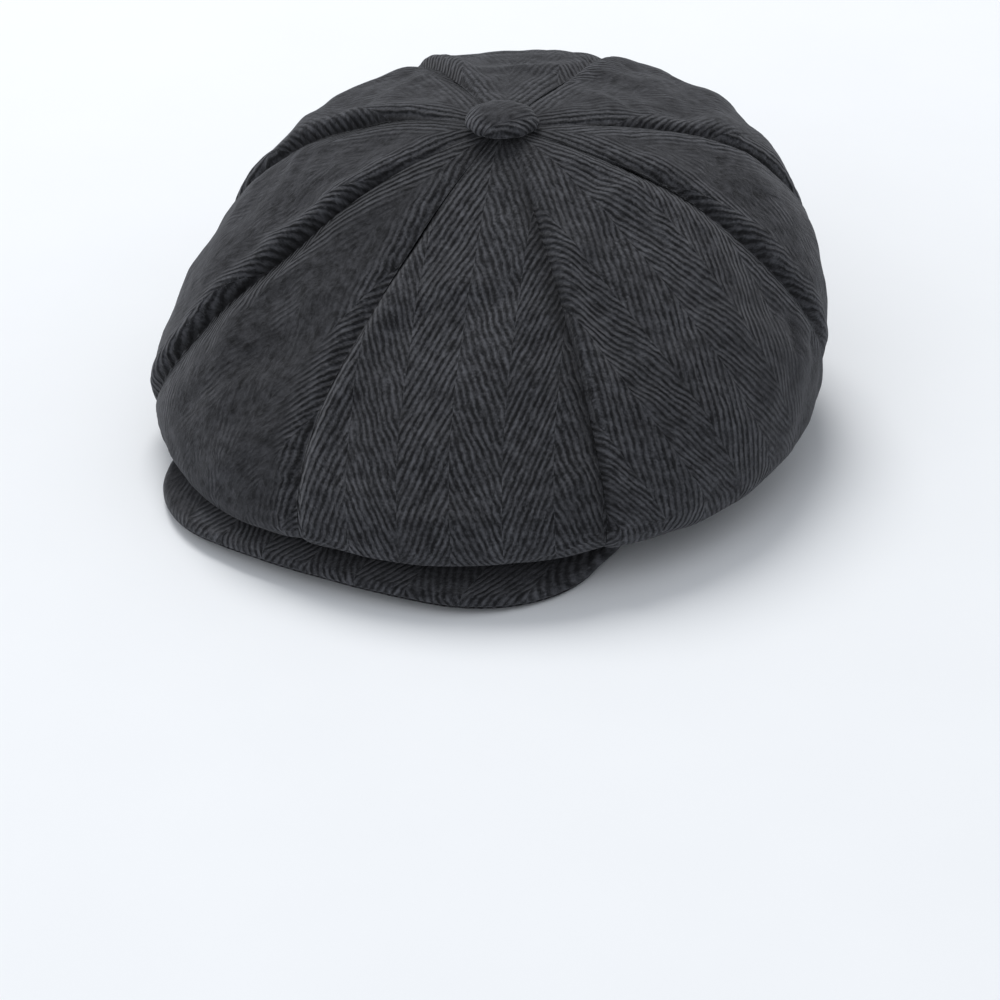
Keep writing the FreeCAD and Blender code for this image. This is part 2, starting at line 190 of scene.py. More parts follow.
def sample(table, column, row):
    """Bilinear reading of a table that closes on itself round the cap."""
    column = np.mod(column, table.shape[0])
    row = np.clip(row, 0, table.shape[1] - 1.001)
    c0, r0 = np.floor(column).astype(int), np.floor(row).astype(int)
    fc, fr = (column - c0)[..., None], (row - r0)[..., None]
    c1 = (c0 + 1) % table.shape[0]
    return ((1 - fc) * ((1 - fr) * table[c0, r0] + fr * table[c0, r0 + 1])
            + fc * ((1 - fr) * table[c1, r0] + fr * table[c1, r0 + 1]))


def crown_point(angle, position):
    """Points of the smooth crown, before seams, creases and folds."""
    column = angle / (2 * np.pi) * TABLE_ANGLES
    radius, z, lean = np.moveaxis(sample(PROFILES, column, position * (TABLE_STEPS - 1)), -1, 0)
    middle_y = CROWN_MIDDLE_Y * np.clip(3 - position, 0, 1)
    x = radius * np.sin(angle) + APEX[0] * lean
    y = middle_y - radius * np.cos(angle) + (APEX[1] - CROWN_MIDDLE_Y) * lean
    return np.stack([x, y, z], -1)


# ------------------------------------------------------------- mesh tools

def normals_of(points):
    """Unit normals of a grid of points, on the side of (down the columns) x (along the rows)."""
    down = np.gradient(points, axis=0)
    along = np.gradient(points, axis=1)
    normal = np.cross(along, down)
    return normal / np.maximum(np.linalg.norm(normal, axis=-1, keepdims=True), 1e-12)


def lengths_along(points, axis):
    """Running length of each grid line, from its first point."""
    step = np.linalg.norm(np.diff(points, axis=axis), axis=-1)
    pad = [(0, 0), (0, 0)]
    pad[axis] = (1, 0)
    return np.pad(np.cumsum(step, axis=axis), pad)


def ripples(points, wavelength, seed, waves=20):
    """Smooth unevenness of about unit size: many plane waves of nearly one length."""
    draw = np.random.default_rng(seed)
    value = np.zeros(points.shape[:-1])
    for _ in range(waves):
        direction = draw.normal(size=3)
        direction /= np.linalg.norm(direction)
        pitch = wavelength * draw.uniform(0.7, 1.6)
        value += np.sin(points @ direction * (2 * np.pi / pitch) + draw.uniform(0, 2 * np.pi))
    return value / math.sqrt(waves / 2)


def hump(distance, width):
    """1 at no distance, falling smoothly to 0 over about twice the width."""
    return np.exp(-(distance / width) ** 2)


def sheet_piece(name, outer, inner, uv, ring=False):
    """A closed sheet between two grids of points; ring joins its last column to its first."""
    columns, rows = outer.shape[:2]
    count = columns * rows
    spans = columns if ring else columns - 1
    c, r = np.meshgrid(np.arange(spans), np.arange(rows - 1), indexing="ij")
    c, r = c.ravel(), r.ravel()
    following = (c + 1) % columns
    quad = np.stack([c * rows + r, c * rows + r + 1,
                     following * rows + r + 1, following * rows + r], -1)
    faces = [quad, quad[:, ::-1] + count]
    c = np.arange(spans)
    following = (c + 1) % columns
    for row, turned in ((0, False), (rows - 1, True)):
        edge = np.stack([c * rows + row, following * rows + row,
                         following * rows + row + count, c * rows + row + count], -1)
        faces.append(edge[:, ::-1] if turned else edge)
    if not ring:
        r = np.arange(rows - 1)
        for column, turned in ((0, True), (columns - 1, False)):
            edge = np.stack([column * rows + r, column * rows + r + 1,
                             column * rows + r + 1 + count, column * rows + r + count], -1)
            faces.append(edge[:, ::-1] if not turned else edge)
    faces = np.concatenate(faces)[:, ::-1]
    mesh = bpy.data.meshes.new(name)
    points = np.concatenate([outer.reshape(-1, 3), inner.reshape(-1, 3)])
    mesh.from_pydata(points.tolist(), [], faces.tolist())
    layer = mesh.uv_layers.new(name="Weave")
    flat = np.concatenate([uv.reshape(-1, 2), uv.reshape(-1, 2)])
    corner = np.zeros(len(mesh.loops), int)
    mesh.loops.foreach_get("vertex_index", corner)
    layer.data.foreach_set("uv", flat[corner].ravel())
    mesh.polygons.foreach_set("use_smooth", [True] * len(mesh.polygons))
    mesh.update()
    piece = bpy.data.objects.new(name, mesh)
    bpy.context.scene.collection.objects.link(piece)
    return piece


def set_attribute(piece, name, values):
    """A number at each point of a piece, which its material reads."""
    layer = piece.data.attributes.new(name, "FLOAT", "POINT")
    layer.data.foreach_set("value", np.asarray(values, float).ravel())


# ---------------------------------------------------------------- materials

class Nodes:
    """A material's node tree, with a short call for each kind of node that is used."""

    def __init__(self, name):
        self.material = bpy.data.materials.new(name)
        self.material.use_nodes = True
        self.tree = self.material.node_tree
        self.shader = self.tree.nodes["Principled BSDF"]

    def add(self, kind, inputs=(), **settings):
        node = self.tree.nodes.new(kind)
        for key, value in settings.items():
            setattr(node, key, value)
        for key, value in dict(inputs).items():
            self.put(node.inputs[key], value)
        return node

    def put(self, socket, value):
        if isinstance(value, bpy.types.NodeSocket):
            self.tree.links.new(value, socket)
        else:
            socket.default_value = value

    def math(self, operation, *values):
        node = self.add("ShaderNodeMath", operation=operation)
        for socket, value in zip(node.inputs, values):
            self.put(socket, value)
        return node.outputs[0]

    def noise(self, vector, scale, detail=2.0, roughness=0.5, lacunarity=2.0):
        node = self.add("ShaderNodeTexNoise", {"Vector": vector, "Scale": scale, "Detail": detail,
                                               "Roughness": roughness, "Lacunarity": lacunarity})
        return node.outputs["Fac"]

    def range(self, value, low, high, to_low=0.0, to_high=1.0, smooth=False):
        node = self.add("ShaderNodeMapRange", {"Value": value, "From Min": low, "From Max": high,
                                               "To Min": to_low, "To Max": to_high})
        node.interpolation_type = "SMOOTHSTEP" if smooth else "LINEAR"
        return node.outputs[0]

    def mix(self, factor, a, b):
        node = self.add("ShaderNodeMix", data_type="RGBA")
        self.put(node.inputs["Factor"], factor)
        self.put(node.inputs[6], a)
        self.put(node.inputs[7], b)
        return node.outputs[2]

    def bump(self, height, distance, strength=1.0, normal=None):
        node = self.add("ShaderNodeBump", {"Height": height, "Distance": distance, "Strength": strength})
        if normal is not None:
            self.put(node.inputs["Normal"], normal)
        return node.outputs[0]

    def weave_uv(self):
        """The flat cloth's two directions, in metres: across and along the piece."""
        flat = self.add("ShaderNodeUVMap", uv_map="Weave").outputs[0]
        node = self.add("ShaderNodeSeparateXYZ", {0: flat})
        return node.outputs[0], node.outputs[1]

    def vector(self, x, y, z=0.0):
        return self.add("ShaderNodeCombineXYZ", {0: x, 1: y, 2: z}).outputs[0]


TWILL_PITCH = 2.55 * MM
TWILL_ANGLE = math.radians(22)       # of the twill lines off the panel's length
CHEVRON_COLUMN = 20 * MM
STREAK = 5 * MM                      # length over which one line keeps its brightness
WOOL_DARK = (0.0054, 0.0056, 0.0067, 1)
WOOL_LIGHT = (0.090, 0.092, 0.103, 1)
NAP_DARK = (0.0026, 0.0027, 0.0032, 1)
NAP_LIGHT = (0.0435, 0.044, 0.0494, 1)


def herringbone_wool():
    """Charcoal herringbone: twill lines that turn at each column, under a felted nap."""
    n = Nodes("herringbone_wool")
    across, along = n.weave_uv()
    flat = n.vector(across, along)
    # Uneven spacing of the lines, then the mirrored columns with their broken join.
    drift = n.range(n.noise(flat, 60.0, 2.0), 0.0, 1.0, -1.5 * MM, 1.5 * MM)
    wander = n.range(n.noise(flat, 380.0, 2.0), 0.0, 1.0, -0.4 * MM, 0.4 * MM)
    side = n.math("PINGPONG", n.math("ADD", across, n.math("MULTIPLY", drift, 0.5)), CHEVRON_COLUMN)
    column = n.math("FLOOR", n.math("DIVIDE", across, CHEVRON_COLUMN))
    step = n.math("MULTIPLY", n.math("MODULO", n.math("ABSOLUTE", column), 2.0), 0.5)
    run = n.math("SUBTRACT", n.math("MULTIPLY", side, math.cos(TWILL_ANGLE)),
                 n.math("MULTIPLY", along, math.sin(TWILL_ANGLE)))
    run = n.math("ADD", run, n.math("ADD", drift, wander))
    phase = n.math("ADD", n.math("DIVIDE", run, TWILL_PITCH), step)
    wave = n.math("SINE", n.math("MULTIPLY", phase, 2 * math.pi))
    # The yarns of one line differ in brightness, in streaks along the line.
    length = n.math("ADD", n.math("MULTIPLY", along, math.cos(TWILL_ANGLE)),
                    n.math("MULTIPLY", side, math.sin(TWILL_ANGLE)))
    line_place = n.vector(n.math("MULTIPLY", phase, 1.7), n.math("DIVIDE", length, STREAK), column)
    streak = n.range(n.noise(line_place, 1.0, 3.0, 0.65), 0.2, 0.8, -1.5, 1.5)
    speckle = n.range(n.noise(flat, 850.0, 2.0, 0.7), 0.25, 0.75, -1.0, 1.0)
    patch = n.range(n.noise(flat, 190.0, 2.0, 0.6), 0.25, 0.75, -0.8, 0.8)
    uneven = n.math("ADD", n.math("ADD", streak, speckle), patch)
    line = n.math("ADD", n.math("MULTIPLY", wave, 0.85), uneven)
    fleck = n.range(n.noise(flat, 700.0, 1.0), 0.66, 0.76, 0.0, 1.3)
    lightness = n.range(n.math("ADD", line, fleck), -1.5, 2.7, smooth=True)
    # The nap lies over the weave in cloudy patches and hides part of it.
    nap = n.add("ShaderNodeAttribute", attribute_name="nap").outputs["Fac"]
    cloud = n.range(n.noise(flat, 75.0, 3.0, 0.65), 0.3, 0.7, -0.3, 0.34)
    felt = n.math("MINIMUM", n.math("MAXIMUM", n.math("ADD", nap, cloud), 0.0), 0.96)
    tangle = n.vector(n.math("ADD", run, n.range(n.noise(flat, 500.0, 1.0), 0, 1, -1.2 * MM, 1.2 * MM)),
                      n.math("MULTIPLY", length, 0.45))
    fibre = n.noise(tangle, 400.0, 4.0, 0.78)
    woven = n.mix(lightness, WOOL_DARK, WOOL_LIGHT)
    mottle = n.math("ADD", fibre, n.math("MULTIPLY", patch, 0.13))
    napped = n.mix(n.range(mottle, 0.33, 0.7), NAP_DARK, NAP_LIGHT)
    colour = n.mix(felt, woven, napped)
    broad = n.range(n.noise(flat, 16.0, 2.0), 0.25, 0.75, 0.8, 1.2)
    # Painted shade: the cloth's colour is darkened in the deep seam valleys and round the button, where
    # shade falls.
    painted_crease_shade = n.add("ShaderNodeAttribute", attribute_name="painted_crease_shade").outputs["Fac"]
    broad = n.math("MULTIPLY", broad, n.math("SUBTRACT", 1.0, n.math("MULTIPLY", painted_crease_shade, 0.8)))
    colour = n.mix(1.0, colour, n.vector(broad, broad, broad))
    colour.node.blend_type = "MULTIPLY"
    n.put(n.shader.inputs["Base Color"], colour)
    n.put(n.shader.inputs["Roughness"], n.range(fibre, 0.2, 0.8, 0.82, 1.0))
    n.shader.inputs["Specular IOR Level"].default_value = 0.15
    n.shader.inputs["Sheen Weight"].default_value = 0.2
    n.shader.inputs["Sheen Roughness"].default_value = 0.5
    n.shader.inputs["Sheen Tint"].default_value = (0.72, 0.73, 0.78, 1)
    relief = n.math("MULTIPLY", n.range(n.math("ADD", wave, n.math("MULTIPLY", streak, 0.5)), -1.4, 1.2,
                                        smooth=True), n.math("SUBTRACT", 1.0, felt))
    relief = n.math("ADD", relief, n.math("MULTIPLY", fibre, 0.8))
    n.put(n.shader.inputs["Normal"], n.bump(relief, 0.7 * MM, 1.0))
    return n.material


def twill_tape(name, dark, light, pitch, roughness):
    """Cotton or elastic tape with a fine straight twill."""
    n = Nodes(name)
    across, along = n.weave_uv()
    flat = n.vector(across, along)
    phase = n.math("DIVIDE", n.math("ADD", across, along), pitch)
    wave = n.math("SINE", n.math("MULTIPLY", phase, 2 * math.pi))
    counter = n.math("DIVIDE", n.math("SUBTRACT", across, along), pitch)
    cross = n.math("SINE", n.math("MULTIPLY", counter, 5.0))
    slub = n.noise(flat, 300.0, 3.0)
    line = n.math("ADD", wave, n.math("MULTIPLY", cross, 0.4))
    line = n.math("ADD", line, n.range(slub, 0, 1, -0.6, 0.6))
    n.put(n.shader.inputs["Base Color"], n.mix(n.range(line, -1.2, 1.2, smooth=True), dark, light))
    n.put(n.shader.inputs["Roughness"], n.range(slub, 0.2, 0.8, roughness, min(1.0, roughness + 0.15)))
    n.shader.inputs["Specular IOR Level"].default_value = 0.3
    n.shader.inputs["Sheen Weight"].default_value = 0.15
    n.put(n.shader.inputs["Normal"], n.bump(line, 0.12 * MM, 0.5))
    return n.material


def satin():
    """Black acetate lining: smooth, with a soft sheen and fine crosswise threads."""
    n = Nodes("lining_satin")
    across, along = n.weave_uv()
    flat = n.vector(n.math("MULTIPLY", across, 4.0), along)
    thread = n.noise(flat, 900.0, 2.0)
    cloud = n.noise(n.vector(across, along), 22.0, 2.0)
    n.put(n.shader.inputs["Base Color"],
          n.mix(n.range(cloud, 0.3, 0.7), (0.012, 0.012, 0.014, 1), (0.020, 0.020, 0.024, 1)))
    n.put(n.shader.inputs["Roughness"], n.range(thread, 0.3, 0.7, 0.32, 0.46))
    n.shader.inputs["Anisotropic"].default_value = 0.5
    n.shader.inputs["Sheen Weight"].default_value = 0.3
    n.put(n.shader.inputs["Normal"], n.bump(thread, 0.05 * MM, 0.5))
    return n.material


def moulded(name, dark, light, roughness, metallic=0.0):
    """Grained hard material of the pieces that the cloth hides."""
    n = Nodes(name)
    place = n.add("ShaderNodeTexCoord").outputs["Object"]
    grain = n.noise(place, 900.0, 4.0, 0.6)
    cloud = n.noise(place, 60.0, 2.0)
    n.put(n.shader.inputs["Base Color"], n.mix(cloud, dark, light))
    n.put(n.shader.inputs["Roughness"], n.range(grain, 0.3, 0.7, roughness, roughness + 0.15))
    n.shader.inputs["Metallic"].default_value = metallic
    n.put(n.shader.inputs["Normal"], n.bump(grain, 0.08 * MM, 0.6))
    return n.material


WOOL_CLOTH = herringbone_wool()
SATIN = satin()
TAPE = twill_tape("cotton_twill", (0.010, 0.010, 0.011, 1), (0.034, 0.034, 0.037, 1), 1.2 * MM, 0.75)
ELASTIC = twill_tape("elastic_tape", (0.012, 0.012, 0.013, 1), (0.045, 0.045, 0.048, 1), 0.8 * MM, 0.6)
BUCKRAM = moulded("buckram", (0.55, 0.52, 0.45, 1), (0.68, 0.65, 0.58, 1), 0.8)
VISOR_PLASTIC = moulded("visor_plastic", (0.02, 0.02, 0.022, 1), (0.035, 0.035, 0.038, 1), 0.45)
BUTTON_METAL = moulded("button_metal", (0.45, 0.45, 0.46, 1), (0.6, 0.6, 0.6, 1), 0.3, 1.0)


def dress(piece, material, slot, *nodes):
    """Give a piece its material and its place in the frame."""
    piece.data.materials.append(material)
    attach(piece, "root")
    if nodes:
        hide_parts(*nodes)


# ------------------------------------------------------- camera, light, floor

CAMERA_AZIMUTH = math.radians(27.2)
CAMERA_HEIGHT = math.radians(32.0)
CAMERA_DISTANCE = 1.348
CAMERA_AIM = Vector((0.0195, -0.0241, BAND_LOW[2] - 0.0221))


def add_camera():
    """Long lens, from the cap's front left and above, with the cap in the upper part of the picture."""
    data = bpy.data.cameras.new("camera")
    data.sensor_width = 36
    data.lens = 118.8
    camera = bpy.data.objects.new("camera", data)
    flat = math.cos(CAMERA_HEIGHT)
    back = Vector((math.sin(CAMERA_AZIMUTH) * flat, -math.cos(CAMERA_AZIMUTH) * flat,
                   math.sin(CAMERA_HEIGHT)))
    camera.location = CAMERA_AIM + back * CAMERA_DISTANCE
    camera.rotation_euler = (math.pi / 2 - CAMERA_HEIGHT, 0, CAMERA_AZIMUTH)
    bpy.context.scene.collection.objects.link(camera)
    bpy.context.scene.camera = camera
    bpy.context.scene.view_settings.view_transform = "Standard"


def add_area_light(name, azimuth, height, distance, size, power, colour):
    """A soft box that faces the cap from an azimuth and a height above the floor, in degrees."""
    data = bpy.data.lights.new(name, "AREA")
    data.shape = "DISK"
    data.size = size
    data.energy = power
    data.color = colour
    lamp = bpy.data.objects.new(name, data)
    turn, lift = math.radians(azimuth), math.radians(height)
    away = Vector((math.sin(turn) * math.cos(lift), -math.cos(turn) * math.cos(lift), math.sin(lift)))
    lamp.location = away * distance
    lamp.rotation_euler = away.to_track_quat("Z", "Y").to_euler()
    bpy.context.scene.collection.objects.link(lamp)


def add_studio():
    """Pale floor, even surround and soft boxes; the brightest light comes from above and behind."""
    world = bpy.data.worlds.new("studio")
    world.use_nodes = True
    background = world.node_tree.nodes["Background"]
    background.inputs["Color"].default_value = (0.93, 0.96, 1.0, 1)
    background.inputs["Strength"].default_value = 0.55
    bpy.context.scene.world = world
    mesh = bpy.data.meshes.new("floor")
    reach = 6.0
    mesh.from_pydata([(-reach, -reach, 0), (reach, -reach, 0), (reach, reach, 0), (-reach, reach, 0)],
                     [], [(0, 1, 2, 3)])
    floor = bpy.data.objects.new("floor", mesh)
    n = Nodes("floor_paper")
    grain = n.noise(n.add("ShaderNodeTexCoord").outputs["Object"], 14.0, 3.0)
    n.put(n.shader.inputs["Base Color"],
          n.mix(grain, (0.84, 0.86, 0.89, 1), (0.87, 0.89, 0.92, 1)))
    n.shader.inputs["Roughness"].default_value = 0.85
    mesh.materials.append(n.material)
    bpy.context.scene.collection.objects.link(floor)
    add_area_light("key", 222, 56, 4.2, 2.35, 107, (1.0, 0.99, 0.97))
    add_area_light("fill_front", -10, 38, 3.0, 2.6, 16, (0.96, 0.98, 1.0))


# ------------------------------------------------------------------- crown

GORE_COLUMNS = 57
SLOPE_ROWS = 86
ROLL_ROWS = 14
UNDER_ROWS = 16
FIRST_POSITION = 0.018

# How far each seam's rear edge stands over its front edge, in millimetres.
SEAM_STEP = {0: 0.8, 45: 2.1, 90: 1.5, 135: 1.2, 180: 1.2, 225: 2.4, 270: 3.4, 315: 3.9}
# How full each gore is between its seams, and how much its nap hides the weave.
GORE_FULLNESS = {"front_left": 1.6, "temple_left": 2.8, "ear_left": 2.4, "back_left": 2.2,
                 "back_right": 1.0, "ear_right": 1.6, "temple_right": 1.8, "front_right": 2.9}
GORE_NAP = {"front_left": 0.02, "temple_left": 0.1, "ear_left": 0.9, "back_left": 0.88,
            "back_right": 0.8, "ear_right": 0.85, "temple_right": 0.96, "front_right": 0.9}


def seam_angle(azimuth, position):
    """Where the seam of that azimuth runs at each position down the crown, in radians."""
    seam = azimuth % 360
    down = np.clip(position, 0, 1)
    return np.radians(azimuth + SEAM_STARTS[seam] + SEAM_DRIFTS[seam] * down
                      + SEAM_SWINGS[seam] * down ** 5)


def gore_positions():
    """From just under the button to the band seam, as positions down the crown."""
    slope = np.linspace(FIRST_POSITION, 1, SLOPE_ROWS, endpoint=False)
    roll = np.linspace(1, 2, ROLL_ROWS, endpoint=False)
    under = np.linspace(2, 3, UNDER_ROWS)
    return np.concatenate([slope, roll, under])


def gore_sides():
    """From one seam to the other, -1 to 1, closer together near the seams."""
    even = np.linspace(-1, 1, GORE_COLUMNS)
    return even + 0.35 * even * (1 - even * even)


def flat_cut(points):
    """Places on the flat cloth: across from the gore's middle line, and down from the button."""
    middle = points.shape[0] // 2
    down = lengths_along(points, 1)[middle]
    across = lengths_along(points, 0)
    across = across - across[middle]
    return np.stack([across, np.broadcast_to(down, across.shape)], -1)


def seam_relief(distance, behind, step, down):
    """Height of the cloth beside a seam, which is sewn in between both gores.

    The rear gore stands up over the allowance pressed under it; the front gore
    comes in low, so that a seam with a large step has a valley before a ridge.
    """
    sunk = -(1.3 * MM + 0.55 * step)
    pucker = 0.2 * MM * np.sin(down * 2 * np.pi / (6.5 * MM)) * hump(distance - 2.5 * MM, 3.0 * MM)
    if behind:
        lifted = (0.4 * MM + 0.5 * step) * hump(distance - 6 * MM, 5.5 * MM)
        return sunk * hump(distance, 2.0 * MM) + lifted * (1 - hump(distance, 2.5 * MM)) + pucker
    width = 2.0 * MM + 1.9 * step
    return sunk * hump(distance, width) + pucker


def gore_relief(name, azimuth, side, position, smooth):
    """How far the cloth stands off the smooth crown."""
    cut = flat_cut(smooth)
    spread = np.broadcast_to(np.abs(cut[[0, -1]]).max(0)[:, 0], side.shape)
    down = cut[..., 1]
    grown = np.clip(spread / (26 * MM), 0, 1)
    fullness = (GORE_FULLNESS[name] * (1 - np.abs(side) ** 3) - 2.0) * MM
    relief = 0.0
    inside = 1.0
    for edge, end in ((azimuth, -1), (azimuth + 45, 1)):
        distance = (1 - side * end) * spread
        # The gore lies behind its first seam on the wearer's left and before it on the right.
        behind = (end < 0) == (edge % 360 < 180)
        relief = relief + seam_relief(distance, behind, SEAM_STEP[edge % 360] * MM, down) * grown
        inside = inside * (1 - hump(distance, 6 * MM))
    seed = GORE_NAMES.index(name)
    drape = 0.45 * MM * ripples(smooth, 60 * MM, 11)
    own = 0.5 * MM * ripples(smooth, 26 * MM, 20 + seed) + 0.13 * MM * ripples(smooth, 9 * MM, 40 + seed)
    puffed = np.interp(position, [0.85, 1.1, 1.5, 2.0, 3.0], [1.0, 0.95, 0.6, 0.25, 0.15])
    tucked = np.interp(position, [0.82, 1.0, 1.35, 2.0, 3.0], [1.0, 0.62, 0.3, 0.2, 0.15])
    return fullness * grown * puffed + (relief * grown + drape + own * inside * grown) * tucked


def gore_painted_crease_shade(azimuth, side, cut):
    """Mask of painted shade: 1 in the bottom of a deep seam valley, fading out over the gore that dips
    into it.

    The gathered cloth round the button gets painted shade too.
    """
    spread = np.broadcast_to(np.abs(cut[[0, -1]]).max(0)[:, 0], side.shape)
    painted_crease_shade = np.zeros(side.shape)
    for edge, end in ((azimuth, -1), (azimuth + 45, 1)):
        distance = (1 - side * end) * spread
        step = SEAM_STEP[edge % 360]
        behind = (end < 0) == (edge % 360 < 180)
        reach = 2.0 * MM if behind else (1.6 + 1.8 * step) * MM
        painted_crease_shade = np.maximum(painted_crease_shade, hump(distance, reach) * min(1.0, step / 3.2))
    painted_crease_shade = painted_crease_shade * np.clip(spread / (20 * MM), 0, 1)
    return np.maximum(painted_crease_shade, 0.55 * hump(cut[..., 1] - 12 * MM, 9 * MM))


SIM_COLUMNS = 176
SIM_ROWS = 64
SIM_FRAMES = 24
SIM_FIRST = 0.1                      # first and last simulated positions down the crown
SIM_LAST = 2.4
SIM_CAP = 2.6 * MM
SIM_FULLNESS = 1.03                   # the cloth is this much larger than the shape it lies on


def crown_seam_weight(angle, position):
    """1 on a seam of the crown, fading to 0 within about 15 mm of it."""
    nearest = np.full(angle.shape, 1.0)
    for azimuth in SEAM_STARTS:
        turn = angle - seam_angle(azimuth, position)
        turn = np.abs(np.mod(turn + np.pi, 2 * np.pi) - np.pi)
        nearest = np.minimum(nearest, turn * crown_radius(angle) * np.clip(position, 0.05, 1))
    return hump(nearest, 6 * MM)


def settle_crown():
    """Cloth simulation of the whole crown, a little too large and held at its seams.

    Gives the movement of each point of a coarse grid, which the gores then follow.
    """
    turn = np.linspace(0, 2 * np.pi, SIM_COLUMNS, endpoint=False)
    angle, position = np.meshgrid(turn, np.linspace(SIM_FIRST, SIM_LAST, SIM_ROWS), indexing="ij")
    start = crown_point(angle, position)
    column, row = np.meshgrid(np.arange(SIM_COLUMNS), np.arange(SIM_ROWS - 1), indexing="ij")
    column, row = column.ravel(), row.ravel()
    following = (column + 1) % SIM_COLUMNS
    quads = np.stack([column * SIM_ROWS + row, column * SIM_ROWS + row + 1,
                      following * SIM_ROWS + row + 1, following * SIM_ROWS + row], -1)
    mesh = bpy.data.meshes.new("crown_cloth")
    mesh.from_pydata(start.reshape(-1, 3).tolist(), [], quads.tolist())
    cloth = bpy.data.objects.new("crown_cloth", mesh)
    bpy.context.scene.collection.objects.link(cloth)
    seam = crown_seam_weight(angle, position)
    rim = np.clip((position - 1.9) / 0.5, 0, 1) + np.clip((0.2 - position) / 0.1, 0, 1)
    hold = cloth.vertex_groups.new(name="hold")
    for index, (at_seam, at_rim) in enumerate(zip(seam.ravel(), rim.ravel())):
        hold.add([index], float(min(1.0, 0.04 + 0.8 * at_seam + at_rim)), "REPLACE")
    cloth.shape_key_add(name="Basis")
    loose = cloth.shape_key_add(name="loose", from_mix=False)
    middle = start.reshape(-1, 3).mean(0)
    loose.data.foreach_set("co", (middle + (start.reshape(-1, 3) - middle) * SIM_FULLNESS).ravel())
    modifier = cloth.modifiers.new("cloth", "CLOTH")
    settings = modifier.settings
    settings.quality = 6
    settings.mass = 0.3
    settings.tension_stiffness = settings.compression_stiffness = 18
    settings.shear_stiffness = 8
    settings.bending_stiffness = 0.6
    settings.vertex_group_mass = "hold"
    settings.pin_stiffness = 1.0
    settings.rest_shape_key = loose
    settings.use_pressure = True
    settings.uniform_pressure_force = 4
    settings.effector_weights.gravity = 0.1
    modifier.collision_settings.use_collision = False
    modifier.point_cache.frame_end = SIM_FRAMES
    scene = bpy.context.scene
    for step in range(1, SIM_FRAMES + 1):
        scene.frame_set(step)
    settled = cloth.evaluated_get(bpy.context.evaluated_depsgraph_get()).data
    moved = np.zeros(len(settled.vertices) * 3)
    settled.vertices.foreach_get("co", moved)
    scene.frame_set(1)
    bpy.data.objects.remove(cloth)
    moved = moved.reshape(start.shape) - start
    length = np.linalg.norm(moved, axis=-1, keepdims=True)
    return moved * np.minimum(1, SIM_CAP / np.maximum(length, 1e-9))


SETTLED = settle_crown()


def settled_shift(angle, position):
    """The simulated movement at any place on the crown; none under the button and near the band."""
    row = (position - SIM_FIRST) / (SIM_LAST - SIM_FIRST) * (SIM_ROWS - 1)
    shift = sample(SETTLED, angle / (2 * np.pi) * SIM_COLUMNS, row)
    fade = np.clip((position - 0.05) / 0.1, 0, 1) * np.clip((1.9 - position) / 0.9, 0, 1)
    return shift * fade[..., None]


def make_gore(name, azimuth):
    """One wool gore from its first seam to its second, with the wear and creases it has."""
    side, position = np.meshgrid(gore_sides() * 0.9985, gore_positions(), indexing="ij")
    first, last = seam_angle(azimuth, position), seam_angle(azimuth + 45, position)
    angle = (first + last) / 2 + side * (last - first) / 2
    smooth = crown_point(angle, position)
    outward = normals_of(smooth)
    relief = gore_relief(name, azimuth, side, position, smooth)
    outer = smooth + outward * relief[..., None] + settled_shift(angle, position)
    inner = outer - normals_of(outer) * WOOL
    cut = flat_cut(smooth)
    panel = sheet_piece(f"crown_gore_{name}", outer, inner, cut)
    spread = np.abs(cut[..., 0])
    edge = np.abs(cut[[0, -1]]).max(0)[:, 0]
    to_seam = np.clip(edge[None, :] - spread, 0, None)
    nap = GORE_NAP[name]
    if name == "temple_left":
        # The weave is worn away towards this gore's rear seam and its lower edge.
        nap = nap + 1.3 * np.clip(side + 0.15, 0, 1) * np.clip(position - 0.45, 0, 0.5) * 2
    nap = nap * np.clip((to_seam - 6 * MM) / (8 * MM), 0.06, 1)
    set_attribute(panel, "nap", np.concatenate([nap.ravel(), nap.ravel()]))
    # Painted shade for the seam valleys and the gathered cloth round the button, which the material
    # darkens.
    painted_crease_shade = gore_painted_crease_shade(azimuth, side, cut)
    set_attribute(panel, "painted_crease_shade", np.concatenate([painted_crease_shade.ravel(), painted_crease_shade.ravel()]))
    dress(panel, WOOL_CLOTH, "wool_tweed", f"crown_panel_{name}")
    return panel


# ------------------------------------------------------------------ lining

LINING_SIDES = 25
LINING_STEPS = 60


def make_lining(name, azimuth):
    """A satin gore that hangs inside the wool, loose between its seams."""
    side, position = np.meshgrid(np.linspace(-0.998, 0.998, LINING_SIDES),
                                 np.linspace(0.05, 3, LINING_STEPS), indexing="ij")
    first, last = seam_angle(azimuth, position), seam_angle(azimuth + 45, position)
    angle = (first + last) / 2 + side * (last - first) / 2
    smooth = crown_point(angle, position)
    spread = np.abs(flat_cut(smooth)[[0, -1]]).max(0)[:, 0]
    grown = np.clip(spread / (26 * MM), 0, 1)
    slack = 2.2 * MM * (1 - side ** 2) * grown + 0.6 * MM * ripples(smooth, 26 * MM, 70) * grown
    at_band = np.clip(3 - position, 0, 1) ** 0.7
    depth = (LINING_DEPTH + 3.2 * MM + slack) * at_band + 0.4 * MM
    outer = smooth - normals_of(smooth) * depth[..., None]
    drawn_in = 1 - 1.2 * MM / SEAM_RADIUS * (position - 2.5) * 2
    outer[..., :2] *= np.where(position > 2.5, drawn_in, 1)[..., None]
    inner = outer - normals_of(outer) * LINING
    cut = flat_cut(outer)
    panel = sheet_piece(f"lining_gore_{name}", outer, inner, cut)
    dress(panel, SATIN, "lining_satin", f"lining_panel_{name}")
    return panel


# -------------------------------------------------------------------- bands

BAND_COLUMNS = 240
ELASTIC_COLUMNS = 80
FOREHEAD_RISE = 9 * MM
FOREHEAD_HALF_WIDTH = 78 * MM


